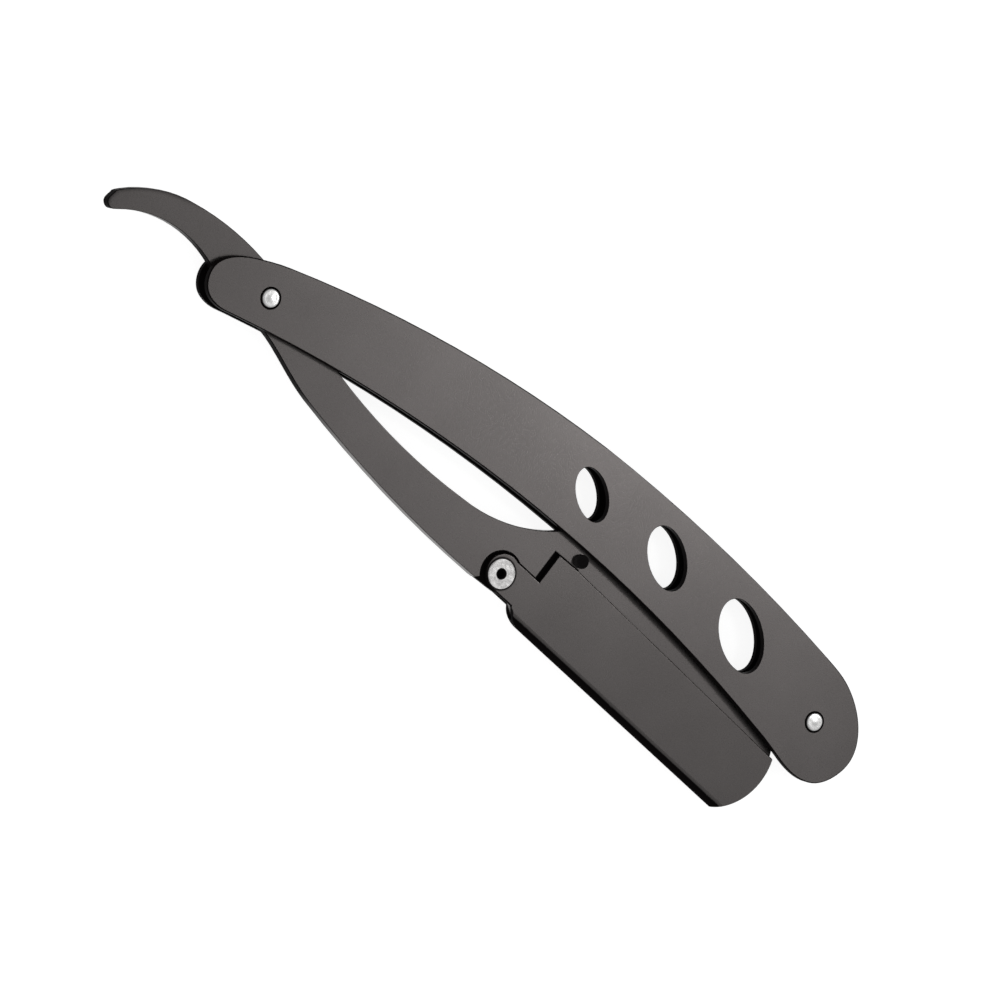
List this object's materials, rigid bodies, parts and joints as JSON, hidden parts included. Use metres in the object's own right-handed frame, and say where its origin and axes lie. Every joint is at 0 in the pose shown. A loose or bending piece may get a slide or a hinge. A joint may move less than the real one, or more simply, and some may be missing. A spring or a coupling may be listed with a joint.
{
  "type": "folding straight razor",
  "caption": "Folding straight razor with a windowed two-scale handle, a curled tail and a swing-open clamp channel that holds half a double-edge blade.",
  "frame": {"origin": "pivot pin's axis on the rear scale's outer face, with the razor lying on that face", "axes": "+X runs along the handle from the pivot pin to the end pin, +Y across the handle towards its convex back, +Z out of the front scale; the arm is folded shut"},
  "size_m": [0.1548, 0.0339, 0.0044],
  "materials": {
    "black_handle": "satin black coated stainless steel, dark side walls",
    "black_arm": "satin black coated stainless steel, dark side walls",
    "black_clamp": "satin black coated sheet steel, fine long grain",
    "black_stud": "blued steel, near black",
    "bright_steel": "bright turned steel, slightly worn",
    "blade_steel": "ground stainless blade strip with a bright honed edge"
  },
  "bodies": {
    "handle": {"front_scale": "black_handle", "rear_scale": "black_handle", "pivot_pin": "bright_steel", "pivot_washer_front": "bright_steel", "pivot_washer_rear": "bright_steel", "end_pin": "bright_steel", "end_spacer": "bright_steel"},
    "arm": {"arm": "black_arm", "stop_stud": "black_stud", "half_blade": "blade_steel", "blade_stud_heel": "black_stud", "blade_stud_tip": "black_stud", "clamp_rivet": "bright_steel"},
    "clamp": {"clamp_channel": "black_clamp"}
  },
  "joints": [
    {"name": "arm_pivot", "type": "hinge", "parent": "handle", "child": "arm", "pos_m": [0, 0, 0.0021], "axis": [0, 0, -1], "range_deg": [-0.4, 330]},
    {"name": "clamp_swing", "type": "hinge", "parent": "arm", "child": "clamp", "pos_m": [0.0571, -0.0114, 0.0021], "axis": [0, 0, -1], "range_deg": [0, 80]}
  ]
}
